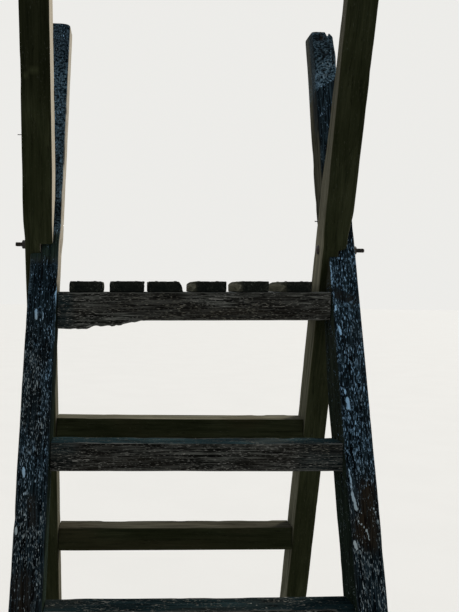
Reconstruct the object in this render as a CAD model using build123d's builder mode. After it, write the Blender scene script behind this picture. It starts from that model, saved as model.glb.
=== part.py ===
import os
from math import atan, cos, degrees, radians, sin

from build123d import *

# Wooden ladder stile: two ladders lean together, cross just above a small deck and run on
# upwards as hand posts. Millimetres, +X to the right, +Y away from the weathered ladder, +Z up.
# The origin is on the ground, midway between the feet.

# Overall heights
deck_height = 1300.0
first_tread_height = 360.0
tread_spacing = 302.0
treads_per_ladder = 3
crossing_above_deck = 64.0
post_above_crossing = 582.0

# Ladders: run is the horizontal lean for one of height
ladder_run = 0.3724
clear_width = 610.0
stringer_depth = 78.0
old_stringer_width = 64.5
new_stringer_width = 62.0
new_ladder_shift = -14.0
old_arris_radius = 5.0
new_arris_radius = 2.5
old_top_radius = 10.0
new_top_radius = 4.0

# Treads
tread_height = 60.0
tread_depth = 68.0
tread_arris = 4.0

# Stub tenons of the treads and bearers, housed in the stringers
tenon_length = 22.0
tenon_height = 36.0
tenon_depth = 34.0
joint_clearance = 0.3

# Half laps where the ladders cross
left_split_from_old_outer = 23.0
right_split_from_old_inner = 23.0
old_shoulder_gap_left = 4.0
old_shoulder_gap_right = 2.0
new_shoulder_gap_left = 9.0
new_shoulder_gap_right = 6.0

# Deck
board_thickness = 24.0
board_length = 154.0
bearer_height = 64.0
bearer_thickness = 48.0
bearer_face_setback = 1.5
torn_depth = 19.0
torn_flat = 67.0
torn_shelf_depth = 12.5
torn_shelf_start = 83.0
torn_shelf_end = 127.0
torn_run = 192.0
board_arris = 2.0
board_widths = [75.0, 79.0, 80.0, 80.0, 74.0, 74.0]
deck_gap_left = 25.0
deck_gap_right = 30.0
board_gap_weights = [13.0, 7.0, 15.0, 21.0, 23.0]
broken_edge_slant = 7.0
worn_arris = 7.0
# The deck was fixed a little out of level, rising to the right by this much per millimetre
deck_slope = 0.0146

# Through bolts with cup heads
bolt_radius = 5.0
bolt_rise = 14.0
bolt_head_radius = 11.0
bolt_head_height = 5.0
bolt_hole_clearance = 0.5
recess_radius = 12.0
recess_depth = 9.0
nut_across_flats = 17.0
nut_height = 8.4
washer_radius = 12.5
washer_thickness = 2.5
left_thread_tail = 15.0
right_thread_tail = 19.0
thread_chamfer = 1.0

# Derived heights and planes
crossing_height = deck_height + crossing_above_deck
post_top = crossing_height + post_above_crossing
lean_angle = degrees(atan(ladder_run))
level_depth = stringer_depth / cos(radians(lean_angle))
tread_tops = [first_tread_height + tread_spacing * i for i in range(treads_per_ladder)]
bearer_top = deck_height - board_thickness
old_inner = clear_width / 2
old_outer = old_inner + old_stringer_width


def near_face_y(height):
    """Y of the weathered ladder's front face at a height."""
    return -level_depth / 2 - (crossing_height - height) * ladder_run


def tread_front_y(top):
    """Y of a tread's front: its top front edge lies on the stringers' front face."""
    return near_face_y(top)


# Where each stringer stands along X, as (low side, high side)
old_left = (-old_outer, -old_inner)
old_right = (old_inner, old_outer)
new_left_inner = -old_inner + new_ladder_shift
new_right_inner = old_inner + new_ladder_shift
new_left = (new_left_inner - new_stringer_width, new_left_inner)
new_right = (new_right_inner, new_right_inner + new_stringer_width)
left_split = old_left[0] + left_split_from_old_outer
right_split = old_right[0] + right_split_from_old_inner
bearer_front_y = near_face_y(bearer_top) + bearer_face_setback


def stringer_corners(side, head_drop):
    """Corners in Y and Z of a stringer's side, with a level foot. head_drop is how much lower
    the far corner of its head lies: nothing where it is cut level, more where it is square.
    side is -1 for the ladder that stands towards -Y and 1 for the other."""
    foot_y = crossing_height * ladder_run
    front = -level_depth / 2
    back = level_depth / 2
    head_y = post_above_crossing * ladder_run
    back_head_y = head_y - head_drop * ladder_run
    corners = [
        (-foot_y + front, 0),
        (-foot_y + back, 0),
        (back_head_y + back, post_top - head_drop),
        (head_y + front, post_top),
    ]
    return [(-side * y, z) for y, z in corners]


def lap_corners(side, front_gap, back_gap):
    """Corners of the strip that the other ladder's stringer takes through a lap. front_gap
    widens it on the face that looks towards that ladder's own foot, back_gap on the other."""
    reach = 2 * stringer_depth
    rise = reach * cos(radians(lean_angle))
    drift = rise * ladder_run
    slope = cos(radians(lean_angle))
    front = -level_depth / 2 - front_gap / slope
    back = level_depth / 2 + back_gap / slope
    corners = [
        (-drift + front, crossing_height - rise),
        (-drift + back, crossing_height - rise),
        (drift + back, crossing_height + rise),
        (drift + front, crossing_height + rise),
    ]
    return [(-side * y, z) for y, z in corners]


def tenon_centre(y_front, depth, top, height):
    return (y_front + depth / 2, top - height / 2)


bolt_height = crossing_height + bolt_rise

# Places of the tenons in the YZ plane for the ladder towards -Y
near_tenons = [
    tenon_centre(tread_front_y(top), tread_depth, top, tread_height) for top in tread_tops
]
near_tenons.append(
    tenon_centre(bearer_front_y, bearer_thickness, bearer_top, bearer_height)
)
far_tenons = [(-y, z) for y, z in near_tenons]


def make_stringer(span, side, tenons, inner_sign, radii, lap_span, lap_gaps):
    """One stringer. span is its place along X, inner_sign points to the inner face, radii
    are those of its arrises and of its top corners, and lap_span is the part of its width
    that is cut away where the other ladder passes. The weathered posts are cut level at the
    top and the newer ones square."""
    low, high = span
    width = high - low
    arris, top_corner = radii
    lean = radians(lean_angle)
    head_drop = 0 if side < 0 else level_depth * sin(lean) * cos(lean)
    across = Axis.Y if side < 0 else Axis((0, 0, 0), (0, side * cos(lean), sin(lean)))
    tilt = Axis((0, 0, 0), (0, -side * sin(lean), cos(lean)))
    with BuildPart() as stringer:
        with BuildSketch(Plane.YZ.offset(low)):
            Polygon(*stringer_corners(side, head_drop), align=None)
        extrude(amount=width)
        fillet(stringer.edges().filter_by(across).group_by(Axis.Z)[-1], radius=top_corner)
        fillet(stringer.edges().filter_by(tilt), radius=arris)

        # Lap: the other ladder's strip, cut from one side of the width
        with BuildSketch(Plane.YZ.offset(lap_span[0])):
            Polygon(*lap_corners(-side, *lap_gaps), align=None)
        extrude(amount=lap_span[1] - lap_span[0], mode=Mode.SUBTRACT)

        # Mortises for the treads and the deck bearer
        mortise_start = high - tenon_length - joint_clearance
        if inner_sign < 0:
            mortise_start = low - joint_clearance
        with BuildSketch(Plane.YZ.offset(mortise_start)):
            with Locations(*tenons):
                Rectangle(
                    tenon_depth + 2 * joint_clearance, tenon_height + 2 * joint_clearance
                )
        extrude(amount=tenon_length + 2 * joint_clearance, mode=Mode.SUBTRACT)

        # Bolt hole
        with BuildSketch(Plane.YZ.offset(low - joint_clearance)):
            with Locations((0, bolt_height)):
                Circle(bolt_radius + bolt_hole_clearance)
        extrude(amount=width + 2 * joint_clearance, mode=Mode.SUBTRACT)
    return stringer


# Weathered ladder: continuous stringers, the left keeps its inner half and the right its outer
old_left_lap = (old_left[0] - joint_clearance, left_split)
old_right_lap = (old_right[0] - joint_clearance, right_split)
near_left_stringer = make_stringer(
    old_left, -1, near_tenons, 1, (old_arris_radius, old_top_radius),
    old_left_lap, (joint_clearance, old_shoulder_gap_left),
)
near_right_stringer = make_stringer(
    old_right, -1, near_tenons, -1, (old_arris_radius, old_top_radius),
    old_right_lap, (joint_clearance, old_shoulder_gap_right),
)

# Newer ladder: the halves that the weathered one leaves free
new_left_lap = (left_split - joint_clearance, new_left[1] + joint_clearance)
new_right_lap = (right_split - joint_clearance, new_right[1] + joint_clearance)
far_left_stringer = make_stringer(
    new_left, 1, far_tenons, 1, (new_arris_radius, new_top_radius),
    new_left_lap, (new_shoulder_gap_left, joint_clearance),
)
far_right_stringer = make_stringer(
    new_right, 1, far_tenons, -1, (new_arris_radius, new_top_radius),
    new_right_lap, (new_shoulder_gap_right, joint_clearance),
)

# Counterbore that sinks the left bolt's head in the weathered stringer
with BuildPart() as near_left_string:
    add(near_left_stringer.part)
    with BuildSketch(Plane.YZ.offset(old_left[1] - recess_depth)):
        with Locations((0, bolt_height)):
            Circle(recess_radius)
    extrude(amount=recess_depth + joint_clearance, mode=Mode.SUBTRACT)
near_left_string.part.label = "near_left_string"
near_right_stringer.part.label = "near_right_string"
far_left_stringer.part.label = "far_left_string"
far_right_stringer.part.label = "far_right_string"

pieces = [near_left_string, near_right_stringer, far_left_stringer, far_right_stringer]


def make_tread(name, side, top, span):
    """A square-sawn tread with a stub tenon at each end."""
    low, high = span
    front = tread_front_y(top)
    centre = tenon_centre(front, tread_depth, top, tread_height)
    y_centre = -side * centre[0]
    with BuildPart() as tread:
        with BuildSketch(Plane.YZ.offset(low + joint_clearance)):
            with Locations((y_centre, centre[1])):
                Rectangle(tread_depth, tread_height)
        extrude(amount=high - low - 2 * joint_clearance)
        fillet(tread.edges().filter_by(Axis.X), radius=tread_arris)
        with BuildSketch(Plane.YZ.offset(low - tenon_length + joint_clearance)):
            with Locations((y_centre, centre[1])):
                Rectangle(tenon_depth, tenon_height)
        extrude(amount=high - low + 2 * (tenon_length - joint_clearance))
    tread.part.label = name
    return tread


near_span = (-old_inner, old_inner)
far_span = (new_left_inner, new_right_inner)
for i, top in enumerate(tread_tops):
    pieces.append(make_tread(f"near_tread_{i + 1}", -1, top, near_span))
    pieces.append(make_tread(f"far_tread_{i + 1}", 1, top, far_span))


def sloped(x, height):
    """A corner (x, Z) of the deck or a bearer, raised by the deck's slope."""
    return x, height + deck_slope * x


def make_bearer(name, side, span, torn):
    """A deck bearer between the stringers. A torn one keeps a deeper lower edge at its left
    end, which steps up to a shelf and then rises to the sawn depth."""
    low, high = span
    start = low + joint_clearance
    end = high - joint_clearance
    bottom = bearer_top - bearer_height
    y_low = bearer_front_y if side < 0 else -bearer_front_y - bearer_thickness
    centre = tenon_centre(bearer_front_y, bearer_thickness, bearer_top, bearer_height)
    with BuildPart() as bearer:
        with BuildSketch(Plane.XZ.offset(-y_low - bearer_thickness)):
            with BuildLine():
                lower_edge = [sloped(start, bottom)]
                if torn:
                    lower_edge = [
                        sloped(start + torn_run, bottom),
                        sloped(start + torn_shelf_end, bottom - torn_shelf_depth),
                        sloped(start + torn_shelf_start, bottom - torn_shelf_depth),
                        sloped(start + torn_flat, bottom - torn_depth),
                        sloped(start, bottom - torn_depth),
                    ]
                Polyline(
                    sloped(start, bearer_top), sloped(end, bearer_top), sloped(end, bottom),
                    *lower_edge, close=True,
                )
            make_face()
        extrude(amount=bearer_thickness)
        with BuildSketch(Plane.YZ.offset(low - tenon_length + joint_clearance)):
            with Locations((-side * centre[0], centre[1])):
                Rectangle(tenon_depth, tenon_height)
        extrude(amount=high - low + 2 * (tenon_length - joint_clearance))
    bearer.part.label = name
    return bearer


pieces.append(make_bearer("near_deck_bearer", -1, near_span, True))
pieces.append(make_bearer("far_deck_bearer", 1, far_span, False))

# Deck boards, laid front to back; the third has a broken right edge and the last three
# have a worn left arris
board_left = -old_inner + deck_gap_left
spare = new_right_inner - deck_gap_right - board_left - sum(board_widths)
board_gaps = [spare * weight / sum(board_gap_weights) for weight in board_gap_weights]
for i, width in enumerate(board_widths):
    left = board_left + sum(board_widths[:i]) + sum(board_gaps[:i])
    slant = broken_edge_slant if i == 2 else 0.0
    wear = worn_arris if i > 2 else board_arris
    with BuildPart() as board:
        with BuildSketch(Plane.XZ.offset(-board_length / 2)):
            with BuildLine():
                Polyline(
                    sloped(left, bearer_top),
                    sloped(left, deck_height - wear),
                    sloped(left + wear, deck_height),
                    sloped(left + width - slant - board_arris, deck_height),
                    sloped(left + width - slant, deck_height - board_arris),
                    sloped(left + width, bearer_top),
                    close=True,
                )
            make_face()
        extrude(amount=board_length)
    board.part.label = f"deck_board_{i + 1}"
    pieces.append(board)


def make_bolt(name, head_face, tail, outward):
    """A cup-head bolt along X. head_face is the X of the face its head bears on, tail the X
    of its threaded end and outward the sign of X from head to tail."""
    length = abs(tail - head_face)
    turn = Plane(
        origin=(head_face, 0, bolt_height), x_dir=(0, 1, 0), z_dir=(outward, 0, 0)
    )
    dome = (bolt_head_radius ** 2 + bolt_head_height ** 2) / (2 * bolt_head_height)
    with BuildPart() as bolt:
        with BuildSketch(turn):
            Circle(bolt_radius)
        extrude(amount=length)
        chamfer(bolt.edges().filter_by(GeomType.CIRCLE).sort_by(Axis.X)[
            -1 if outward > 0 else 0], length=thread_chamfer)
        with BuildSketch(Plane(origin=turn.origin, x_dir=(0, 1, 0), z_dir=(0, 0, 1))):
            with BuildLine():
                top = (0, outward * bolt_head_height)
                rim = (bolt_head_radius, 0)
                mid_angle = 0.5 * atan(
                    bolt_head_radius / (dome - bolt_head_height)
                )
                mid = (
                    dome * sin(mid_angle),
                    outward * (dome * cos(mid_angle) - dome + bolt_head_height),
                )
                Line((0, 0), rim)
                ThreePointArc(rim, mid, top)
                Line(top, (0, 0))
            make_face()
        revolve(axis=Axis((head_face, 0, bolt_height), (1, 0, 0)))
    bolt.part.label = name
    return bolt


def make_ring(name, start, thickness, outward, hexagon):
    """A washer or a hexagon nut on a bolt, from X start outwards."""
    seat = Plane(origin=(start, 0, bolt_height), x_dir=(0, 1, 0), z_dir=(outward, 0, 0))
    with BuildPart() as ring:
        with BuildSketch(seat):
            if hexagon:
                RegularPolygon(nut_across_flats / 2, 6, major_radius=False)
            else:
                Circle(washer_radius)
            Circle(bolt_radius + joint_clearance, mode=Mode.SUBTRACT)
        extrude(amount=thickness)
    ring.part.label = name
    return ring


# The left bolt comes out through the newer stringer, the right one through the old one
left_washer_face = new_left[0]
right_washer_face = old_right[1]
left_nut_face = left_washer_face - washer_thickness
right_nut_face = right_washer_face + washer_thickness
pieces += [
    make_bolt(
        "left_bolt", old_left[1] - recess_depth,
        left_nut_face - nut_height - left_thread_tail, -1,
    ),
    make_ring("left_washer", left_washer_face, washer_thickness, -1, False),
    make_ring("left_nut", left_nut_face, nut_height, -1, True),
    make_bolt(
        "right_bolt", new_right[0],
        right_nut_face + nut_height + right_thread_tail, 1,
    ),
    make_ring("right_washer", right_washer_face, washer_thickness, 1, False),
    make_ring("right_nut", right_nut_face, nut_height, 1, True),
]

os.makedirs("parts", exist_ok=True)
for piece in pieces:
    export_step(piece.part, f"parts/{piece.part.label}.step")
    size = piece.part.bounding_box().size
    print(piece.part.label, round(piece.part.volume / 1000), "cm3",
          [round(v, 1) for v in (size.X, size.Y, size.Z)])
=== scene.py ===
import math

import bpy
import numpy as np
from mathutils import Matrix, Vector


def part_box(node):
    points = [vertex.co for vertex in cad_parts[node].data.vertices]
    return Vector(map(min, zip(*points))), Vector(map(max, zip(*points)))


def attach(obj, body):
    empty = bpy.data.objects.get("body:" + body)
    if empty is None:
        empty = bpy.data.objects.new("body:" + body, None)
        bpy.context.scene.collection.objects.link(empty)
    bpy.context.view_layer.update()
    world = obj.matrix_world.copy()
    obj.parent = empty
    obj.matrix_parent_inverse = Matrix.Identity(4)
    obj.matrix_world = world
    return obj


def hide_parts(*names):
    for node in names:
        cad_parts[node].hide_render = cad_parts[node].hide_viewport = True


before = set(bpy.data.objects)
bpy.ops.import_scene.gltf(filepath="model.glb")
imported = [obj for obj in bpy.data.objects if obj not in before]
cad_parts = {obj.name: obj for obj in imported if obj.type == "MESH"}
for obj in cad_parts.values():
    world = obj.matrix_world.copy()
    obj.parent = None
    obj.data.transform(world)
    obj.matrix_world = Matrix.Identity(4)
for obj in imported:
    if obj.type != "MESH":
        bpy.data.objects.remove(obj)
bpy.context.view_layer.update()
print("frame loaded")

# Lengths are metres, in the frame of the CAD model. The old ladder is the weathered one, near the
# camera, and the new one stands beyond it.
ladder = {
    "crossingHeight": 1.364, "run": 0.3724, "depth": 0.078, "topAbove": 0.582,
    "oldSpans": ((-0.3695, -0.305), (0.305, 0.3695)), "oldWidth": 0.0645, "oldGaps": (0.004, 0.002),
    "newSpans": ((-0.381, -0.319), (0.291, 0.353)), "newWidth": 0.062, "newGaps": (0.009, 0.006),
    "splits": (-0.3465, 0.328), "gap": 0.0003, "footEase": 0.16, "lapEase": 0.2, "topEase": 0.15,
    "footCap": (0.002, 6), "topRings": 12, "seed": 31,
}
leanAngle = math.atan(ladder["run"])
sinLean = math.sin(leanAngle)
cosLean = math.cos(leanAngle)
sinDouble = math.sin(2 * leanAngle)
cosDouble = math.cos(2 * leanAngle)


def latticeValue(i, j, k, seed):
    # a repeatable value from 0 to 1 at each whole-number lattice point
    h = (i * 73856093) ^ (j * 19349663) ^ (k * 83492791) ^ (seed * 265443576)
    h = ((h ^ (h >> 13)) * 1274126177) & 0x7FFFFFFF
    return ((h ^ (h >> 15)) & 0xFFFF) / 65535.0


def eased(t):
    # the smooth curve 3t^2 - 2t^3
    return t * t * (3 - 2 * t)


def softNoise(p, scale, seed):
    # value noise: lattice values around a point, blended with the smooth curve on each axis
    q = p * np.asarray(scale)
    cell = np.floor(q).astype(np.int64)
    t = eased(q - cell)
    total = np.zeros(q.shape[:-1])
    for corner in np.ndindex(2, 2, 2):
        weight = np.prod(np.where(corner, t, 1 - t), -1)
        total += weight * latticeValue(*np.moveaxis(cell + corner, -1, 0), seed)
    return total


def ramp(value, low, high):
    # 0 below low, 1 above high and a smooth curve between
    return eased(np.clip((value - low) / (high - low), 0, 1))


def bar(stations, stepAcross):
    # A rounded bar carried along its length. Each station gives (along, shear, x low, x high,
    # depth low, depth high, corner radius). A point of the rectangle is pulled to its corner
    # circle: centre + radius * direction. Returns places, outward directions and the distance
    # from the nearest arris, all as rings by points, and the slant of each ring.
    table = np.asarray(stations, float)
    along, shear, xLow, xHigh, wLow, wHigh, radius = (table[:, i, None] for i in range(7))
    nx = max(4, int(round(np.max(xHigh - xLow) / stepAcross)))
    nw = max(4, int(round(np.max(wHigh - wLow) / stepAcross)))
    e = np.arange(nx) / nx
    f = np.arange(nw) / nw
    a = np.concatenate([e, np.ones(nw), 1 - e, np.zeros(nw)])[None]
    b = np.concatenate([np.zeros(nx), f, np.ones(nx), 1 - f])[None]
    x = xLow + (xHigh - xLow) * a
    w = wLow + (wHigh - wLow) * b
    r = np.minimum(radius, 0.49 * np.minimum(xHigh - xLow, wHigh - wLow))
    cx = np.clip(x, xLow + r, xHigh - r)
    cw = np.clip(w, wLow + r, wHigh - r)
    dx = x - cx
    dw = w - cw
    size = np.maximum(np.hypot(dx, dw), 1e-9)
    dx, dw = dx / size, dw / size
    px = cx + r * dx
    pw = cw + r * dw
    places = np.stack([px, pw, along + 0 * px], -1)
    out = np.stack([dx, dw, np.zeros_like(dx)], -1)
    toArris = np.maximum(np.minimum(px - xLow, xHigh - px), np.minimum(pw - wLow, wHigh - pw))
    return places, out, toArris, (shear, (wLow + wHigh) / 2)


def slanted(places, slant):
    # along + shear * (depth - middle): a square section leant over, as at a level foot
    shear, middle = slant
    along = places[..., 2] + shear * (places[..., 1] - middle)
    return np.stack([places[..., 0], places[..., 1], along], -1)


def capStations(station, inward, rounding, count):
    # rings that close an end: each is inset further, and drops along a quarter circle
    along, shear, xLow, xHigh, wLow, wHigh, radius = station
    half = 0.499 * min(xHigh - xLow, wHigh - wLow)
    rings = []
    for t in np.linspace(0, 1, count + 1)[1:]:
        inset = half * t ** 1.5
        drop = 0.0
        if inset < rounding:
            drop = rounding - math.sqrt(rounding ** 2 - (rounding - inset) ** 2)
        corner = max(radius - inset, 0.25 * half * (1 - t))
        rings.append((along - inward * drop, shear, xLow + inset, xHigh - inset,
                      wLow + inset, wHigh - inset, corner))
    return rings


def capped(rows, first, last):
    # closes both ends of a run; first and last are (rounding, number of rings) and the run
    # itself stops short of each end by the rounding
    start, end = rows[0], rows[-1]
    low, high = start[0] + first[0], end[0] - last[0]
    inside = [row for row in rows if low < row[0] < high]
    return (
        capStations(start, -1, *first)[::-1] + [(low, *start[1:])] + inside
        + [(high, *end[1:])] + capStations(end, 1, *last)
    )


def newPiece(name, points, faces):
    mesh = bpy.data.meshes.new(name)
    mesh.from_pydata(points, [], faces)
    mesh.update()
    piece = bpy.data.objects.new(name, mesh)
    bpy.context.scene.collection.objects.link(piece)
    return piece


def gridQuads(rings, around):
    # point numbers ring by ring, and a quad from each point to its neighbours and the next ring;
    # the last row of quads joins the last ring to the first
    grid = np.arange(rings * around).reshape(rings, around)
    nextRing = np.roll(grid, -1, 0)
    return grid, np.stack([grid, np.roll(grid, -1, 1), np.roll(nextRing, -1, 1), nextRing], -1)


def enclosed(points, quads):
    # six times the volume inside: p . (q x r) over the two triangles of each quad
    p, q, r, s = (points[quads[:, i]] for i in range(4))
    return np.einsum("ij,ij->i", p, np.cross(q, r) + np.cross(r, s)).sum()


sharpAngle = math.radians(48)


def closedMesh(name, places, attributes, toWorld):
    # Quads between neighbouring rings, and a fan to one middle point at each end. The faces are
    # turned outwards when the enclosed volume comes out negative.
    rings, around, _ = places.shape
    count = rings * around
    grid, quads = gridQuads(rings, around)
    quads = quads[:-1].reshape(-1, 4)
    starts = np.stack([np.roll(grid[0], -1), grid[0], np.full(around, count)], -1)
    ends = np.stack([grid[-1], np.roll(grid[-1], -1), np.full(around, count + 1)], -1)
    world = toWorld(np.concatenate(
        [places.reshape(-1, 3), places[0].mean(0)[None], places[-1].mean(0)[None]]))
    if enclosed(world, quads) < 0:
        quads, starts, ends = quads[:, ::-1], starts[:, ::-1], ends[:, ::-1]
    piece = newPiece(name, world.tolist(), quads.tolist() + starts.tolist() + ends.tolist())
    mesh = piece.data
    for key, values in attributes.items():
        flat = values.reshape(count, -1)
        flat = np.concatenate([flat, flat[:around].mean(0)[None], flat[-around:].mean(0)[None]])
        kind, part = ("FLOAT_VECTOR", "vector") if flat.shape[1] == 3 else ("FLOAT", "value")
        mesh.attributes.new(key, kind, "POINT").data.foreach_set(part, flat.ravel())
    mesh.polygons.foreach_set("use_smooth", np.ones(len(mesh.polygons), bool))
    mesh.set_sharp_from_angle(angle=sharpAngle)
    mesh.update()
    return piece


def dress(piece, material, slotName, *nodes):
    piece.data.materials.append(material)
    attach(piece, "root")
    if nodes:
        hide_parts(*nodes)


def setInputs(node, values):
    # each input takes a link from another node, or a plain value
    for key, value in values.items():
        if isinstance(value, bpy.types.NodeSocket):
            node.id_data.links.new(value, node.inputs[key])
        else:
            node.inputs[key].default_value = value
    return node


def addNode(kind, values, tree=None, **settings):
    # a node in the given tree, or in the tree of what is linked to it
    sockets = [value for value in values.values() if isinstance(value, bpy.types.NodeSocket)]
    node = (tree or sockets[0].id_data).nodes.new(kind)
    for key, value in settings.items():
        setattr(node, key, value)
    return setInputs(node, values)


def calc(operation, a, b=0.0, c=0.0):
    return addNode("ShaderNodeMath", {0: a, 1: b, 2: c}, operation=operation).outputs[0]


def times(a, b):
    return calc("MULTIPLY", a, b)


def offMiddle(value, gain, base):
    # (value - 0.5) * gain + base
    return calc("MULTIPLY_ADD", calc("SUBTRACT", value, 0.5), gain, base)


def fade(value, low, high, toLow=0.0, toHigh=1.0):
    # the smooth ramp as a node, from toLow up to toHigh
    limits = {"Value": value, "From Min": low, "From Max": high, "To Min": toLow, "To Max": toHigh}
    return addNode("ShaderNodeMapRange", limits, interpolation_type="SMOOTHSTEP").outputs["Result"]


def blendColour(amount, a, b):
    # a * (1 - amount) + b * amount; inputs 6 and 7 and output 2 of the Mix node are its colours
    a, b = (c if isinstance(c, bpy.types.NodeSocket) else (*c, 1.0) for c in (a, b))
    return addNode("ShaderNodeMix", {0: amount, 6: a, 7: b}, data_type="RGBA").outputs[2]


def vectorMath(operation, vector, value, key=1):
    return addNode("ShaderNodeVectorMath", {0: vector, key: value}, operation=operation).outputs[0]


def noiseAt(vector, scale, detail=3.0, roughness=0.55, drawn=1.0):
    # a noise drawn out along the timber, whose third coordinate is multiplied by the last value
    if drawn != 1.0:
        vector = vectorMath("MULTIPLY", vector, (1, 1, drawn))
    values = {"Vector": vector, "Scale": scale, "Detail": detail, "Roughness": roughness}
    return addNode("ShaderNodeTexNoise", values).outputs["Fac"]


def bumpFrom(height, strength, distance):
    values = {"Height": height, "Strength": strength, "Distance": distance}
    return addNode("ShaderNodeBump", values).outputs["Normal"]


def newGroup(name, numbers):
    # a node group with a vector input, and a number input for each name and default
    group = bpy.data.node_groups.new(name, "ShaderNodeTree")
    group.interface.new_socket("Vector", in_out="INPUT", socket_type="NodeSocketVector")
    for label, value in numbers.items():
        socket = group.interface.new_socket(label, in_out="INPUT", socket_type="NodeSocketFloat")
        socket.default_value = value
    return group, group.nodes.new("NodeGroupInput").outputs


def closeGroup(group, results):
    # a number output for each result
    for label in results:
        group.interface.new_socket(label, in_out="OUTPUT", socket_type="NodeSocketFloat")
    setInputs(group.nodes.new("NodeGroupOutput"), results)
    return group


def newMaterial(name):
    material = bpy.data.materials.new(name)
    material.use_nodes = True
    return material, material.node_tree, material.node_tree.nodes["Principled BSDF"]


noises = {
    # scale, detail, roughness, and how the third coordinate is drawn out
    "warp": (9.0, 2.0, 0.55, 0.25), "streak": (110.0, 5.0, 0.62, 0.05),
    "line": (340.0, 3.0, 0.6, 0.05), "fissure": (95.0, 2.0, 0.5, 0.045),
    "dash": (430.0, 1.2, 0.5, 0.15), "crumb": (150.0, 4.0, 0.65, 0.45),
    "drift": (26.0, 3.0, 0.6, 0.4), "shade": (210.0, 3.0, 0.7, 0.3),
    "stain": (14.0, 4.0, 0.6, 0.3), "fray": (90.0, 3.0, 0.6, 0.3), "speckle": (190.0, 4.0, 0.7),
}
fades = {
    # where a mask starts and ends its rise, and where given, what it rises from and to
    "fissure": (0.0, 0.022, 1.0, 0.0), "flecks": (0.575, 0.635), "crust": (0.44, 0.56),
    "shade": (0.4, 0.62), "worn": (0.0005, 0.0045, 1.0, 0.0), "line": (0.42, 0.66),
    "stain": (0.42, 0.62), "flank": (0.3, 0.7), "speckle": (0.45, 0.575),
    "film": (0.3, 0.55, 0.6, 1.0), "bare": (0.2, 0.6), "sunny": (0.15, 0.7, 0.5, 0.95),
    "warm": (0.47, 0.63), "rough": (0.2, 0.8),
}
gains = {
    # how far one value moves or lifts another
    "waver": 0.012, "streakRelief": 0.5, "lineRelief": 0.35, "fissureRelief": -0.6,
    "drift": 0.36, "density": 0.24, "crumb": 1.1, "crustTone": 0.85, "crumbRelief": 0.4,
    "fray": 0.010, "filmScale": (0.75, 1, 1), "filmFills": -0.8, "endGrain": 0.8,
    "lichenRelief": 0.5, "relief": 0.0016, "gloss": 0.01,
}


def grainGroup():
    # streaks, fine lines and open fissures that run along the timber and waver a little
    group, ins = newGroup("timberGrain", {"Coarseness": 1.0})
    warp = noiseAt(ins["Vector"], *noises["warp"])
    lean = addNode("ShaderNodeCombineXYZ", {0: times(warp, gains["waver"])}).outputs[0]
    bent = vectorMath("ADD", ins["Vector"], lean)
    streak = noiseAt(bent, *noises["streak"])
    line = noiseAt(bent, *noises["line"])
    ridge = calc("ABSOLUTE", calc("SUBTRACT", noiseAt(bent, *noises["fissure"]), 0.5))
    fissure = fade(times(ridge, ins["Coarseness"]), *fades["fissure"])
    height = calc("MULTIPLY_ADD", line, gains["lineRelief"], times(streak, gains["streakRelief"]))
    height = calc("MULTIPLY_ADD", fissure, gains["fissureRelief"], height)
    return closeGroup(group, {"Streak": streak, "Line": line, "Fissure": fissure, "Height": height})


def lichenGroup():
    # pale dashes drawn out along the timber, and fewer larger crusts with ragged rims
    group, ins = newGroup("lichenFlecks", {"Density": 0.5, "Patch": 0.0, "Fineness": 1.0})
    vector = vectorMath("SCALE", ins["Vector"], ins["Fineness"], "Scale")
    dash = noiseAt(vector, *noises["dash"])
    crumb = noiseAt(vector, *noises["crumb"])
    drift = noiseAt(vector, *noises["drift"])
    bias = offMiddle(drift, gains["drift"], offMiddle(ins["Density"], gains["density"], 0.0))
    flecks = fade(calc("ADD", dash, bias), *fades["flecks"])
    crust = fade(offMiddle(crumb, gains["crumb"], ins["Patch"]), *fades["crust"])
    mask = calc("MAXIMUM", flecks, crust)
    shade = fade(noiseAt(vector, *noises["shade"]), *fades["shade"])
    tone = calc("MAXIMUM", times(crust, gains["crustTone"]), shade)
    height = times(mask, calc("ADD", crumb, gains["crumbRelief"]))
    return closeGroup(group, {"Mask": mask, "Tone": tone, "Height": height})


def stainGroup():
    # broad weather stains, and a worn value near the arrises
    group, ins = newGroup("weatherStain", {"Arris": 0.02})
    stain = noiseAt(ins["Vector"], *noises["stain"])
    edge = offMiddle(noiseAt(ins["Vector"], *noises["fray"]), gains["fray"], ins["Arris"])
    return closeGroup(group, {"Stain": stain, "Worn": fade(edge, *fades["worn"])})


grain = grainGroup()
lichen = lichenGroup()
stains = stainGroup()


def placeGroup(group, values):
    return addNode("ShaderNodeGroup", values, node_tree=group).outputs


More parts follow.
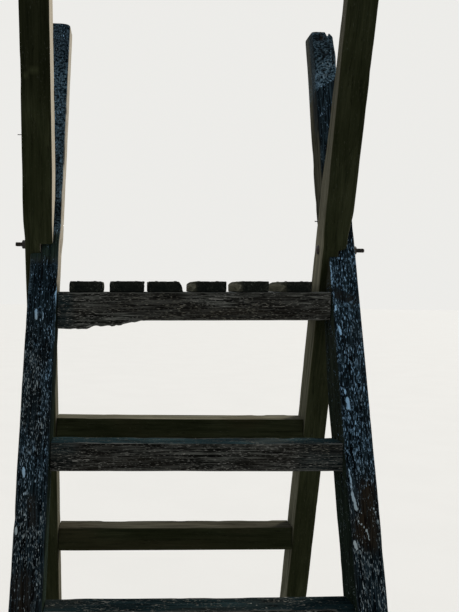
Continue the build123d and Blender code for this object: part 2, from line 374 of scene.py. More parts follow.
def timberMaterial(name, look):
    # Layers from the bottom up, each a blend towards its own colour by its own mask: streaks,
    # pale lines, stains, side faces with their damp and painted shade, film, bare wood, painted
    # sunlight with some bleaching, worn arrises, fissures, end grain and lichen. The tone brightens
    # or darkens all that is under the lichen; it also carries painted highlights and painted shade.
    material, tree, shader = newMaterial(name)

    def painted(key):
        return addNode("ShaderNodeAttribute", {}, tree, attribute_name=key).outputs["Fac"]

    def over(amount, top):
        return blendColour(amount, colour, top)

    timber = addNode("ShaderNodeAttribute", {}, tree, attribute_name="timber").outputs["Vector"]
    grained = placeGroup(grain, {"Vector": timber, "Coarseness": look["coarseness"]})
    weathered = placeGroup(stains, {"Vector": timber, "Arris": painted("arris")})
    streak, stain, fissure = grained["Streak"], weathered["Stain"], grained["Fissure"]
    colour = blendColour(fade(streak, *look["streaks"]), look["dark"], look["light"])
    colour = over(fade(grained["Line"], *fades["line"], 0.0, look["lines"]), look["pale"])
    colour = over(fade(stain, *fades["stain"], 0.0, look["staining"]), look["stain"])
    flank = fade(streak, *fades["flank"])
    flankColour = blendColour(flank, *look["flank"])
    # where the mask asks, the side faces take a darker, greener colour: partly damp wood, partly painted
    # shade
    if "damp" in look:
        flankColour = blendColour(painted("damp"), flankColour, blendColour(flank, *look["damp"]))
    colour = over(painted("flank"), flankColour)
    fissure = times(fissure, look["fissures"])
    if "film" in look:
        film = painted("film")
        scaled = vectorMath("MULTIPLY", timber, gains["filmScale"])
        speckle = noiseAt(scaled, *noises["speckle"])
        filmColour = blendColour(fade(speckle, *fades["speckle"]), *look["film"])
        colour = over(times(film, fade(stain, *fades["film"])), filmColour)
        fissure = times(fissure, calc("MULTIPLY_ADD", film, gains["filmFills"], 1.0))
    colour = over(times(painted("bare"), fade(streak, *fades["bare"])), look["bare"])
    # painted sunlight, with some real bleaching, where the mask marks it
    colour = over(times(painted("sunny"), fade(streak, *fades["sunny"])), look["bleached"])
    colour = over(times(weathered["Worn"], look["wear"]), look["wornEdge"])
    colour = over(fissure, look["crack"])
    colour = over(times(painted("cut"), gains["endGrain"]), look["endGrain"])
    colour = vectorMath("SCALE", colour, calc("ADD", painted("tone"), 1.0), "Scale")
    spots = placeGroup(lichen, {
        "Vector": timber, "Density": calc("ADD", painted("flecks"), look["flecks"]),
        "Patch": painted("patch"), "Fineness": look["fineness"],
    })
    warmth = calc("MAXIMUM", fade(stain, *fades["warm"]), painted("warm"))
    pale = blendColour(warmth, look["fleckPale"], look["fleckWarm"])
    crust = blendColour(spots["Tone"], look["fleckDark"], pale)
    colour = over(times(spots["Mask"], look["fleckStrength"]), crust)
    height = calc("MULTIPLY_ADD", spots["Height"], gains["lichenRelief"], grained["Height"])
    setInputs(shader, {
        "Base Color": colour, "Roughness": fade(streak, *fades["rough"], *look["roughness"]),
        "Specular IOR Level": gains["gloss"],
        "Normal": bumpFrom(height, look["bump"], gains["relief"]),
    })
    return material


weatheredPost = timberMaterial("weatheredPost", {
    "coarseness": 0.8, "streaks": (0.38, 0.7), "dark": (0.0003, 0.0012, 0.0018),
    "light": (0.0085, 0.016, 0.021), "pale": (0.042, 0.074, 0.094), "lines": 0.5,
    "stain": (0.0055, 0.006, 0.0055), "staining": 0.5,
    "flank": ((0.026, 0.028, 0.017), (0.066, 0.066, 0.046)),
    "damp": ((0.005, 0.01, 0.007), (0.017, 0.026, 0.018)),
    "film": ((0.0005, 0.006, 0.01), (0.15, 0.245, 0.31)), "bare": (0.026, 0.02, 0.013),
    "bleached": (0.46, 0.41, 0.33), "endGrain": (0.005, 0.005, 0.005), "wear": 0.3,
    "wornEdge": (0.04, 0.05, 0.053), "fissures": 0.85, "crack": (0.001, 0.001, 0.0015),
    "flecks": -0.15, "fineness": 1.9, "fleckDark": (0.035, 0.07, 0.1),
    "fleckPale": (0.4, 0.67, 0.93), "fleckWarm": (0.5, 0.59, 0.6), "fleckStrength": 0.95,
    "roughness": (0.95, 0.75), "bump": 0.9,
})
weatheredRung = timberMaterial("weatheredRung", {
    "coarseness": 0.8, "streaks": (0.3, 0.7), "dark": (0.002, 0.0023, 0.0018),
    "light": (0.023, 0.0245, 0.0205), "pale": (0.19, 0.195, 0.172), "lines": 0.9,
    "stain": (0.016, 0.014, 0.012), "staining": 0.6,
    "flank": ((0.003, 0.012, 0.015), (0.018, 0.042, 0.048)), "bare": (0.026, 0.022, 0.017),
    "bleached": (0.1, 0.12, 0.12), "endGrain": (0.02, 0.02, 0.018), "wear": 0.8,
    "wornEdge": (0.15, 0.15, 0.135), "fissures": 0.85, "crack": (0.002, 0.002, 0.002),
    "flecks": 0.04, "fineness": 1.7, "fleckDark": (0.05, 0.052, 0.048),
    "fleckPale": (0.34, 0.335, 0.3), "fleckWarm": (0.26, 0.25, 0.2), "fleckStrength": 0.9,
    "roughness": (0.95, 0.75), "bump": 0.8,
})
newerPost = timberMaterial("newerPost", {
    "coarseness": 1.8, "streaks": (0.3, 0.7), "dark": (0.017, 0.0205, 0.0095),
    "light": (0.036, 0.0405, 0.0195), "pale": (0.05, 0.054, 0.028), "lines": 0.4,
    "stain": (0.011, 0.0135, 0.005), "staining": 0.5,
    "flank": ((0.045, 0.044, 0.031), (0.135, 0.128, 0.092)),
    "damp": ((0.02, 0.022, 0.013), (0.05, 0.05, 0.034)), "bare": (0.04, 0.034, 0.018),
    "bleached": (0.5, 0.45, 0.36), "endGrain": (0.04, 0.036, 0.02), "wear": 0.2,
    "wornEdge": (0.05, 0.045, 0.026), "fissures": 0.5, "crack": (0.005, 0.005, 0.003),
    "flecks": -0.35, "fineness": 1.6, "fleckDark": (0.04, 0.045, 0.03),
    "fleckPale": (0.12, 0.13, 0.1), "fleckWarm": (0.13, 0.12, 0.08), "fleckStrength": 0.4,
    "roughness": (0.9, 0.7), "bump": 0.3,
})
deckTimber = timberMaterial("deckTimber", {
    "coarseness": 1.2, "streaks": (0.3, 0.7), "dark": (0.012, 0.013, 0.009),
    "light": (0.04, 0.041, 0.028), "pale": (0.09, 0.088, 0.062), "lines": 0.5,
    "stain": (0.012, 0.014, 0.009), "staining": 0.6,
    "flank": ((0.014, 0.016, 0.01), (0.04, 0.041, 0.028)), "bare": (0.06, 0.05, 0.03),
    "bleached": (0.13, 0.125, 0.09), "endGrain": (0.005, 0.0075, 0.0075), "wear": 0.6,
    "wornEdge": (0.14, 0.135, 0.1), "fissures": 0.8, "crack": (0.003, 0.003, 0.003), "flecks": 0.0,
    "fineness": 1.6, "fleckDark": (0.04, 0.05, 0.04), "fleckPale": (0.2, 0.22, 0.18),
    "fleckWarm": (0.16, 0.16, 0.11), "fleckStrength": 0.7, "roughness": (0.95, 0.75), "bump": 0.7,
})
rust = {
    "dark": (0.010, 0.013, 0.014), "brown": (0.028, 0.018, 0.013), "light": (0.06, 0.034, 0.02),
    "pits": (420.0, 6.0, 0.65), "blotches": (130.0, 4.0, 0.6), "bump": 0.5, "relief": 0.0004,
}


def rustMaterial():
    # dark steel with brown blotches, and lighter rust where the pits are
    material, tree, shader = newMaterial("rustySteel")
    place = addNode("ShaderNodeTexCoord", {}, tree).outputs["Object"]
    pits = noiseAt(place, *rust["pits"])
    blotch = noiseAt(place, *rust["blotches"])
    colour = blendColour(fade(blotch, 0.35, 0.65), rust["dark"], rust["brown"])
    setInputs(shader, {
        "Base Color": blendColour(fade(pits, 0.55, 0.72), colour, rust["light"]),
        "Roughness": fade(blotch, 0.3, 0.7, 0.55, 0.85),
        "Metallic": fade(blotch, 0.4, 0.6, 0.5, 0.1),
        "Normal": bumpFrom(pits, rust["bump"], rust["relief"]),
    })
    return material


rustySteel = rustMaterial()
print("materials made")


wearing = {
    # how often each kind of wear changes across, through and along the timber, how wide it
    # reaches, and where the noise that shapes it starts and ends
    "swell": (14, 14, 3.0), "grain": (330, 330, 22), "ridge": (85, 85, 5.5), "ridgeWidth": 0.07,
    "grooved": (30, 30, 4), "groovedFrom": (0.35, 0.7), "bites": (45, 45, 26),
    "bitesFrom": (0.52, 0.9), "biteReach": 0.009,
}


def weatherDepth(p, toArris, look, seed):
    # How far the surface has worn in: long soft hollows, drawn-out grooves where a ridged noise
    # is narrow, and bites along the arris where a noise is high
    swell = softNoise(p, wearing["swell"], seed) * look["swell"]
    fine = softNoise(p, wearing["grain"], seed + 1) * look["grain"]
    ridge = np.abs(softNoise(p, wearing["ridge"], seed + 2) - 0.5)
    groove = np.clip(1 - ridge / wearing["ridgeWidth"], 0, 1) ** 1.5 * look["groove"]
    groove = groove * ramp(softNoise(p, wearing["grooved"], seed + 3), *wearing["groovedFrom"])
    bite = ramp(softNoise(p, wearing["bites"], seed + 4), *wearing["bitesFrom"]) * look["bite"]
    bite = bite * np.clip(1 - toArris / wearing["biteReach"], 0, 1)
    return swell + fine + groove + bite


masks = ("patch", "bare", "sunny", "flank", "flecks", "cut", "film", "damp", "tone", "warm")


def makeTimber(name, surface, look, seed, toWorld, paint, material, slotName, carve=None):
    # the bar's points move in by the weathering, then lean over by the section's slant; the
    # piece stands for the CAD node of its name
    places, out, toArris, slant = surface
    leant = slanted(places, slant)
    depth = weatherDepth(leant, toArris, look, seed) * (1 - paint.get("seated", 0.0))
    shaped = slanted(places - out * depth[..., None], slant)
    if carve:
        shaped = carve(shaped)
    offset = np.array([0.37, 0.11, 0.53]) * (seed % 17 + 1)  # each piece has its own grain
    attributes = {"timber": leant + offset, "arris": toArris}
    for key in masks:
        attributes[key] = paint.get(key, np.zeros(places.shape[:2]))
    piece = closedMesh(name + "_timber", shaped, attributes, toWorld)
    dress(piece, material, slotName, name)


def stringerToWorld(side):
    # the ladder's own (x, depth, along) turned by the lean about the crossing, then mirrored in
    # Y for the far ladder
    def turn(p):
        y = p[:, 2] * sinLean + p[:, 1] * cosLean
        z = p[:, 2] * cosLean - p[:, 1] * sinLean
        return np.stack([p[:, 0], -side * y, z + ladder["crossingHeight"]], -1)
    return turn


def stringerStations(span, lapCut, lapGaps, look):
    # Stations from the foot, cut level, past the two slanting shoulders of the lap, to the top,
    # which is level on the weathered posts and square on the newer ones. Each leg's shear goes
    # over smoothly from its first value to its second.
    half = ladder["depth"] / 2
    foot = -ladder["crossingHeight"] / cosLean
    levelShear = sinLean / cosLean
    topShear = levelShear if look["levelTop"] else 0.0
    top = ladder["topAbove"] / cosLean - half * (levelShear - topShear)
    lapShear = -cosDouble / sinDouble
    lower = -(half + lapGaps[0]) / sinDouble
    upper = (half + lapGaps[1]) / sinDouble
    step = look["stepAlong"]
    footEnd, lapStart = foot + ladder["footEase"], lower - ladder["lapEase"]
    lapEnd, topStart = upper + ladder["lapEase"], top - ladder["topEase"]
    legs = (
        (foot, footEnd, levelShear, 0.0, span), (footEnd + step, lapStart, 0.0, 0.0, span),
        (lapStart + step, lower, 0.0, lapShear, span), (lower, upper, lapShear, lapShear, lapCut),
        (upper, lapEnd, lapShear, 0.0, span), (lapEnd + step, topStart, 0.0, 0.0, span),
        (topStart + step, top, 0.0, topShear, span),
    )
    rings = []
    for a, b, shearA, shearB, (low, high) in legs:
        t = np.linspace(0, 1, max(2, int(round((b - a) / step))) + 1)
        rings += [(a + (b - a) * u, shearA + (shearB - shearA) * v, low, high, -half, half,
                   look["radius"]) for u, v in zip(t, eased(t))]
    return capped(rings, ladder["footCap"], (look["topRounding"], ladder["topRings"]))


def strokes(places, marks):
    # A sum of soft strokes: exp(-(distance to the stroke's line / width)^2). A mark is
    # (x, along at one end, x, along at the other, width, strength).
    total = np.zeros(places.shape[:2])
    for x0, s0, x1, s1, width, strength in marks:
        dx, ds = x1 - x0, s1 - s0
        along = ((places[..., 0] - x0) * dx + (places[..., 2] - s0) * ds) / (dx * dx + ds * ds)
        along = np.clip(along, 0, 1)
        away = np.hypot(places[..., 0] - x0 - along * dx, places[..., 2] - s0 - along * ds)
        total += strength * np.exp(-((away / width) ** 2))
    return np.clip(total, 0, 1)


oldLook = {
    "radius": 0.005, "stepAlong": 0.006, "stepAcross": 0.002, "topRounding": 0.005,
    "levelTop": True, "flankFrom": (0.75, 0.95), "lowSun": 0.0, "damp": 1.0, "swell": 0.0008,
    "grain": 0.0007, "groove": 0.0022, "bite": 0.0024,
}
newLook = {
    "radius": 0.0028, "stepAlong": 0.011, "stepAcross": 0.0024, "topRounding": 0.004,
    "levelTop": False, "flankFrom": (0.85, 0.98), "lowSun": 0.1, "damp": 0.6, "swell": 0.0004,
    "grain": 0.00025, "groove": 0.0006, "bite": 0.001,
}
ladders = {
    # side, spans, gaps at the shoulders, look, material, slot
    "near": (-1, ladder["oldSpans"], ladder["oldGaps"], oldLook, weatheredPost, "weathered_timber"),
    "far": (1, ladder["newSpans"], ladder["newGaps"], newLook, newerPost, "newer_timber"),
}
carved = {
    "bow": 0.0036, "dip": 0.0018, "wind": 0.008, "taper": (0.003, 0.0025), "split": 0.0125,
    "splitWidth": 0.0052, "topDrop": (0.003, 0.008), "knot": 0.006, "hack": (0.0030, 0.0020),
    "leftTop": (0.003, 0.005), "leftInner": 0.0022, "leftOuter": 0.0009,
    "farWind": (0.0045, 0.0022), "farInner": (0.0024, 0.0016), "farSplit": 0.007,
    "farSteps": (0.009, 0.004), "farBow": (0.004, 0.0025), "farWiden": 0.002,
}
diagonal = {"x": 0.2965, "along": 0.4224, "rise": 0.675}


def belowTop(p):
    # how far a point of a weathered post lies below its level top, along the post
    return ladder["topAbove"] / cosLean + p[..., 1] * ladder["run"] - p[..., 2]


def aboveDiagonal(p):
    # how far a point lies above the slanting line where the right post's face turns rough
    return p[..., 2] - diagonal["along"] - diagonal["rise"] * (p[..., 0] - diagonal["x"])


def carveNearRight(p):
    # The inner face bows a little and is in wind below the lap, the outer arris pulls in towards
    # the top, a narrow split opens as a soft V, a knot has dried in, and the face above the
    # slanting line is hacked
    width = ladder["oldWidth"]
    px, pw, ps = np.moveaxis(p, -1, 0)
    x = px - ladder["oldSpans"][1][0]
    s = ps.copy()
    below = belowTop(p)
    front = ramp(-pw, 0.02, 0.034)
    bow = carved["bow"] * ramp(s, 0.32, 0.55)
    bow = bow - carved["dip"] * ramp(s, 0.05, 0.12) * ramp(-s, -0.33, -0.2)
    px += bow * np.clip(1 - x / 0.05, 0, 1)
    inner = np.clip(1 - x / width, 0, 1) * np.clip(0.5 + pw / ladder["depth"], 0, 1)
    px -= carved["wind"] * ramp(-s, 0.02, 0.36) * inner
    low, high = carved["taper"]
    taper = low * ramp(-below, -0.2, -0.08) + high * ramp(-below, -0.08, 0.0)
    px -= taper * ramp(x, 0.045, width)
    split = np.clip(1 - np.abs(x - 0.0488 - 0.15 * pw) / carved["splitWidth"], 0, 1) ** 0.8
    low, high = carved["topDrop"]
    drop = carved["split"] * split + low * ramp(x, 0.043, 0.047) + high * ramp(x, 0.047, width)
    ps -= drop * ramp(-below, -0.05, -0.012)
    knot = np.exp(-(((x - 0.0225) / 0.009) ** 2 + ((below - 0.019) / 0.008) ** 2))
    coarse, fine = carved["hack"]
    hacked = softNoise(p, (120, 10, 75), 61) * coarse + softNoise(p, (330, 10, 210), 62) * fine
    pushed = front * (carved["knot"] * knot + hacked * ramp(aboveDiagonal(p), -0.002, 0.004))
    pw += pushed
    ps += pushed * ladder["run"]
    return p


def carveNearLeft(p):
    # the top is worn down a little, more at the inner corner: 3 mm + 5 mm * reach^2; the inner
    # face swells out above the lap, and the outer one below it
    px, _, ps = np.moveaxis(p, -1, 0)
    x = px - ladder["oldSpans"][0][0]
    reach = np.clip((x - 0.04) / 0.0245, 0, 1) ** 2
    px += carved["leftInner"] * ramp(ps, 0.0, 0.05) * ramp(x, 0.03, ladder["oldWidth"])
    px -= carved["leftOuter"] * ramp(-ps, 0.05, 0.1) * ramp(-x, -0.03, 0.0)
    low, high = carved["leftTop"]
    ps -= (low + high * reach) * ramp(-belowTop(p), -0.05, -0.012)
    return p


def carveFarRight(p):
    # The newer right post is a little in wind: its back edge leans outwards above the lap and its
    # front edge inwards. Its outer arris is split away above the shoulder, which rises in ragged
    # steps towards it.
    px, pw, ps = np.moveaxis(p, -1, 0)
    s = ps.copy()
    forward = pw / ladder["depth"] + 0.5
    inner = np.clip((ladder["newSpans"][1][1] - px) / ladder["newWidth"], 0, 1)
    low, high = carved["farWind"]
    px += (low * ramp(s, 0.14, 0.3) + high * ramp(s, 0.34, 0.44)) * (1 - forward)
    low, high = carved["farInner"]
    px -= (low * ramp(s, 0.03, 0.08) + high * ramp(s, 0.15, 0.3)) * forward * inner
    torn = ramp(-s, -0.125, -0.045) * ramp(pw, 0.0, 0.03)
    px -= carved["farSplit"] * torn * ramp(px, 0.340, 0.353)
    shoulder = (ladder["depth"] / 2 + ladder["newGaps"][1] - pw * cosDouble) / sinDouble
    rise, rough = carved["farSteps"]
    ragged = rise * ramp(px, 0.338, 0.3455) + rough * softNoise(p, (260, 1, 1), 71)
    cutHalf = (px > 0.329) & (s > shoulder - 0.001)
    ps[:] = np.where(cutHalf, np.maximum(s, shoulder + ragged), s)
    return p


def carveFarLeft(p):
    # the newer left post is a little bowed: it stands out to the left above the lap and comes
    # back in higher up, and it is slightly wider there
    px, _, ps = np.moveaxis(p, -1, 0)
    outer = np.clip((ladder["newSpans"][0][1] - px) / ladder["newWidth"], 0, 1)
    high, low = carved["farBow"]
    px += (high * ramp(ps, 0.1, 0.5) - low * ramp(ps, 0.03, 0.09)) * outer
    px += carved["farWiden"] * ramp(ps, 0.1, 0.2) * (1 - outer)
    return p


weather = {
    # strokes of pale crust, brown bare wood and dark hollows on the faces towards the camera,
    # and pale scuffs on the newer post
    "near_left_string": {
        "patch": [
            (-0.3486, -0.156, -0.3472, -0.178, 0.003, 1.0), (-0.3335, -0.163, -0.3326, -0.179, 0.0014, 0.9),
            (-0.3398, -0.027, -0.3388, -0.045, 0.001, 0.5), (-0.3095, -0.11, -0.3088, -0.13, 0.0028, 0.58),
            (-0.3066, -0.1, -0.3062, -0.23, 0.0011, 0.52), (-0.3554, -0.492, -0.3541, -0.509, 0.0036, 0.85),
            (-0.364, -0.61, -0.363, -0.62, 0.004, 0.9), (-0.3494, -0.577, -0.3473, -0.594, 0.005, 0.5),
        ],
        "bare": [
            (-0.338, -0.555, -0.334, -0.6, 0.01, 0.6), (-0.345, -0.71, -0.335, -0.95, 0.024, 0.7),
        ],
        "hollow": [
            (-0.3445, 0.0, -0.3411, -0.075, 0.0018, 1.0),
        ],
    },
    "near_right_string": {
        "patch": [
            (0.3159, -0.183, 0.319, -0.202, 0.003, 1.0), (0.3115, -0.138, 0.3116, -0.145, 0.0038, 0.85),
            (0.342, -0.041, 0.3418, -0.046, 0.0018, 0.9), (0.308, -0.031, 0.307, -0.085, 0.007, 0.56),
            (0.3207, -0.346, 0.3236, -0.366, 0.0042, 1.0), (0.3176, -0.326, 0.3177, -0.336, 0.003, 0.8),
            (0.311, -0.493, 0.315, -0.536, 0.0045, 0.6), (0.315, -0.545, 0.3215, -0.577, 0.004, 0.95),
            (0.311, -0.639, 0.315, -0.651, 0.0036, 1.1), (0.3215, -0.597, 0.338, -0.616, 0.0017, 0.85),
            (0.338, -0.616, 0.3425, -0.635, 0.0017, 0.85), (0.3545, -0.572, 0.361, -0.582, 0.0022, 0.8),
            (0.308, 0.433, 0.323, 0.443, 0.0018, 0.62), (0.323, 0.443, 0.352, 0.4625, 0.0018, 0.6),
            (0.3102, 0.477, 0.332, 0.4935, 0.002, 0.55), (0.32, 0.506, 0.333, 0.513, 0.0022, 0.5),
        ],
        "bare": [
            (0.346, -0.535, 0.343, -0.64, 0.02, 1.0), (0.325, -0.6, 0.32, -0.625, 0.012, 0.8),
            (0.318, -0.108, 0.352, -0.122, 0.013, 0.5), (0.333, 0.591, 0.332, 0.583, 0.0045, 1.0),
        ],
        "hollow": [
            (0.3458, 0.5429, 0.3289, 0.5241, 0.0026, 1.0), (0.3289, 0.5241, 0.3153, 0.5116, 0.0024, 0.8),
            (0.3326, 0.5394, 0.3258, 0.5512, 0.0055, 0.9), (0.361, 0.5556, 0.36, 0.5133, 0.0036, 0.8),
            (0.318, 0.4915, 0.333, 0.488, 0.0022, 0.9), (0.338, 0.476, 0.35, 0.484, 0.002, 0.8),
            (0.308, 0.52, 0.32, 0.533, 0.0026, 0.8), (0.35, 0.498, 0.358, 0.51, 0.002, 0.7),
            (0.312, 0.46, 0.319, 0.466, 0.0022, 0.8), (0.306, 0.556, 0.307, 0.49, 0.0022, 0.6),
            (0.342, 0.57, 0.352, 0.556, 0.003, 0.8), (0.332, 0.456, 0.34, 0.461, 0.0016, 0.7),
        ],
    },
    "far_left_string": {
        "scuffs": [
            (-0.371, 0.392, -0.356, 0.404, 0.0032, 0.8), (-0.352, 0.4, -0.34, 0.407, 0.0024, 0.5),
        ],
    },
    "far_right_string": {},
}


def paintNearLeft(m, leant, outward, facing):
    # a smooth strip up the outer edge, an olive band across the face at the lap in the damp-and-shade
    # side colour made lighter, brown fibres that show through along the front edge of the side with
    # painted sunlight, and painted shade near the top and just above the lap
    x, w, s = np.moveaxis(leant, -1, 0)
    smoothStrip = ramp(-x, 0.356, 0.364) * ramp(s, -0.16, -0.12)
    calm = 0.3 * ramp(s, -0.045, -0.02) * ramp(-s, 0.0, 0.01)
    m["flecks"] += 0.2 * ramp(-s, 0.14, 0.3) - 0.04 - 0.4 * smoothStrip - calm
    m["flecks"] -= 0.3 * ramp(x, -0.313, -0.307) * ramp(-s, 0.0, 0.1)
    olive = ramp(s, -0.05, -0.025) * ramp(-s, -0.045, -0.02) * facing
    m["flank"] = np.maximum(m["flank"], 0.8 * olive)
    m["damp"] = np.maximum(m["damp"], olive)
    edge = ramp(-w, 0.012, 0.028) * ramp(s, 0.17, 0.22) * ramp(-s, -0.45, -0.4)
    fibres = ramp(softNoise(leant, (90, 90, 60), 87), 0.45, 0.6)
    ragged = edge * ramp(outward, 0.2, 0.6) * fibres
    m["sunny"] = m["sunny"] * (1 - 0.85 * ragged)
    m["bare"] = np.maximum(m["bare"], ragged)
    shaded = 0.5 * ramp(s, 0.44, 0.5) + 0.6 * ramp(s, 0.05, 0.07) * ramp(-s, -0.13, -0.1)
    m["tone"] = 0.9 * olive - shaded * facing
    film = np.maximum(0.85 * ramp(s, -0.02, 0.05), 0.55 * smoothStrip * facing)
    m["film"] = film * (1 - olive) * (1 - 0.3 * ramp(-s, -0.34, -0.26))
    m["cut"] = np.maximum(m["cut"], m["hollow"])


def paintNearRight(m, leant, outward, facing):
    # a pale film on the rough upper face, lighter wood below it, and the dark knot: a soft spot
    # 1.6 * exp(-(across / width)^2 - (along / height)^4), clipped at 1
    x, w, s = np.moveaxis(leant, -1, 0)
    above = aboveDiagonal(leant)
    rough = ramp(above, -0.002, 0.004)
    paleBand = rough * ramp(-above, -0.11, -0.04)
    m["flecks"] += 0.15 * ramp(-s, 0.0, 0.1) - 0.3 * rough * (1 - paleBand)
    m["flecks"] -= 0.25 * ramp(s, 0.02, 0.1) * (1 - rough)
    m["film"] = (0.55 + 0.45 * paleBand) * rough * (1 - 0.5 * m["flank"]) * (1 - m["hollow"])
    brighter = 0.35 + 0.5 * ramp(-s, -0.34, -0.27)
    m["tone"] = brighter * ramp(s, 0.2, 0.25) * (1 - rough) * facing
    frontHalf = ramp(-w, -0.012, 0.012)
    # painted sunlight on the side faces: a little all the way up from the crossing, more on their back half
    # near the top
    lit = 0.035 * ramp(s, 0.0, 0.05) + 0.1 * (1 - frontHalf) * ramp(s, 0.33, 0.4)
    m["sunny"] = m["sunny"] + lit * m["flank"]
    m["flank"] = m["flank"] * (1 - ramp(s, 0.27, 0.36) * frontHalf)
    m["damp"] = m["damp"] - 0.16 * ramp(-s, 0.1, 0.2) * ramp(s, -0.55, -0.42)
    knot = np.exp(-(((x - 0.326) / 0.0115) ** 2 + ((s - 0.586) / 0.0105) ** 4))
    knot = np.clip(1.6 * knot, 0, 1) * facing
    m["cut"] = np.maximum(np.maximum(m["cut"] * (s < 0), knot * (1 - m["bare"])), 0.6 * m["hollow"])
    m["flecks"] -= knot


def paintFarLeft(m, leant, outward, facing):
    # the face darkens from 0.3 m above the crossing, and the scuffs are pale
    m["tone"] = (0.25 - 0.6 * ramp(leant[..., 2], 0.3, 0.4)) * facing + 1.6 * m["scuffs"]


def paintFarRight(m, leant, outward, facing):
    # the face and the inner side get lighter on the way down to the lap
    s = leant[..., 2]
    lighter = 0.1 + 0.45 * ramp(-s, -0.4, -0.12) + 0.8 * ramp(-s, -0.12, -0.02)
    m["tone"] = 0.3 * ramp(-s, -0.3, -0.08) * facing + lighter * ramp(-outward, 0.5, 0.9)


def paintStringer(name, side, look, surface, detail):
    # m holds the masks for the material, made from the place along the post, the way a point
    # faces and the marks; detail then changes them for one post
    places, out, _, slant = surface
    leant = slanted(places, slant)
    s = leant[..., 2]
    outward = out[..., 0]
    facing = ramp(side * out[..., 1], 0.3, 0.7)  # 1 on the face towards the camera
    flank = ramp(np.abs(outward), *look["flankFrom"])
    upper = ramp(s, -0.15, -0.02)
    # from the deck down the side faces darken and green: partly damp wood, partly painted shade
    damp = ramp(-s, 0.04, 0.14)
    if "right" in name:
        # on the outer faces the painted sunlight and the darker damp-and-shade colour change more gently
        # along the post
        upper = 0.5 * ramp(s, -0.9, 0.4)
        outerSide = ramp(outward, 0.3, 0.7)
        damp = damp * (1 - outerSide) + 0.7 * ramp(-s, 0.0, 0.9) * outerSide
    # painted sunlight, with some bleaching, on the faces turned towards the sun; lower down only lowSun of
    # it remains
    bleached = look["lowSun"] + (1 - look["lowSun"]) * upper
    m = {
        "flank": flank, "damp": look["damp"] * damp, "flecks": 0.5 - 0.45 * flank,
        "sunny": ramp(outward, *look["flankFrom"]) * bleached, "cut": np.zeros(s.shape),
    }
    for kind in ("patch", "bare", "hollow", "scuffs"):
        m[kind] = strokes(leant, weather[name].get(kind, ())) * facing
    m["cut"][-ladder["topRings"]:] = 1
    m["cut"][:ladder["footCap"][1]] = 1
    if side < 0:
        # lower down, the lichen is warmer and a little thinner, and it keeps out of the hollows
        m["warm"] = ramp(-s, 0.42, 0.62)
        m["flecks"] -= 0.07 * ramp(-s, 0.45, 0.62) + 0.4 * m["hollow"]
    detail(m, leant, outward, facing)
    m["flecks"] -= 0.3 * m["bare"]
    return m


stringers = {
    "near_left_string": (carveNearLeft, paintNearLeft),
    "near_right_string": (carveNearRight, paintNearRight),
    "far_left_string": (carveFarLeft, paintFarLeft),
    "far_right_string": (carveFarRight, paintFarRight),
}
for index, (name, (carve, detail)) in enumerate(stringers.items()):
    word, hand = name.split("_")[:2]
    number = ("left", "right").index(hand)
    side, spans, shoulders, look, material, slotName = ladders[word]
    low, high = spans[number]
    split = ladder["splits"][number]
    kept, lapGaps = (split, high), (shoulders[number], ladder["gap"])
    if side > 0:
        kept, lapGaps = (low, split), lapGaps[::-1]
    surface = bar(stringerStations((low, high), kept, lapGaps, look), look["stepAcross"])
    makeTimber(name, surface, look, ladder["seed"] + 7 * index, stringerToWorld(side),
               paintStringer(name, side, look, surface, detail), material, slotName, carve)
print("stringers made")

treads = {
    "tops": (0.36, 0.662, 0.964), "height": 0.06, "thick": 0.068, "radius": 0.003,
    "cap": (0.001, 4), "stepAlong": 0.006, "stepAcross": 0.0024, "swell": 0.0006, "grain": 0.0006,
    "groove": 0.0017, "bite": 0.0022, "dish": 0.003, "dishReach": 0.17, "tones": (0.0, -0.45, 0.2),
    "chip": 0.0075, "chipFrom": (0.262, 0.272), "chipReach": 0.02, "chipDepths": (-0.03, -0.004),
    "seed": 101,
}
bearer = {
    "top": 1.276, "height": 0.064, "thick": 0.048, "setback": 0.0015, "radius": 0.0028,
    "cap": (0.001, 4), "stepAlong": 0.005, "stepAcross": 0.0024, "swell": 0.0007, "grain": 0.0006,
    "groove": 0.0015, "bite": 0.0022, "slope": 0.0146, "tornDepth": 0.019, "tornFlat": 0.067,
    "tornStep": 0.0125, "tornStepEnd": 0.083, "tornShelf": 0.127, "tornRun": 0.192,
    "tornRough": 0.003, "seed": 301,
}
crossbars = (
    # side, span, word, material, slot
    (-1, (-0.3047, 0.3047), "near", weatheredRung, "weathered_timber"),
    (1, (-0.3187, 0.2907), "far", newerPost, "newer_timber"),
)


def crossbarToWorld(side, front, top, slope=0.0):
    # local x runs back from the front, local depth runs up from the top face, along is X, and
    # the whole bar may rise to the right by slope * X
    def turn(p):
        z = top + p[:, 1] + slope * p[:, 2]
        return np.stack([p[:, 2], side * -(front + p[:, 0]), z], -1)
    return turn


def nearFaceY(z):
    # Y of the weathered stringers' front face at a height
    return -ladder["depth"] / cosLean / 2 - (ladder["crossingHeight"] - z) * ladder["run"]


def crossbar(low, high, look, bottoms=None):
    # a rounded bar along X, whose lower face may follow a line of its own
    xs = np.linspace(low, high, int(round((high - low) / look["stepAlong"])) + 1)
    depths = np.full(len(xs), look["height"]) if bottoms is None else bottoms(xs)
    rows = [(x, 0.0, 0.0, look["thick"], -depth, 0.0, look["radius"])
            for x, depth in zip(xs, depths)]
    return bar(capped(rows, look["cap"], look["cap"]), look["stepAcross"])


def chippedEnd(p):
    # the top front arris has split off near the right end: a slope of depth * reach^0.7
    reach = ramp(p[..., 2], *treads["chipFrom"]) * np.clip(1 - p[..., 0] / treads["chipReach"], 0, 1)
    p[..., 1] -= treads["chip"] * reach ** 0.7 * ramp(p[..., 1], *treads["chipDepths"])
    return p


def barStrokes(places, out, marks):
    # the same strokes on a bar's front face, as (height below the top, X) pairs
    flat = np.stack([places[..., 1], places[..., 1], places[..., 2]], -1)
    return strokes(flat, marks) * ramp(-out[..., 0], 0.3, 0.7)


def frontLip(out):
    # 1 on the rounded arris between the top and the front
    return ramp(-out[..., 0], 0.2, 0.5) * ramp(out[..., 1], 0.2, 0.5)


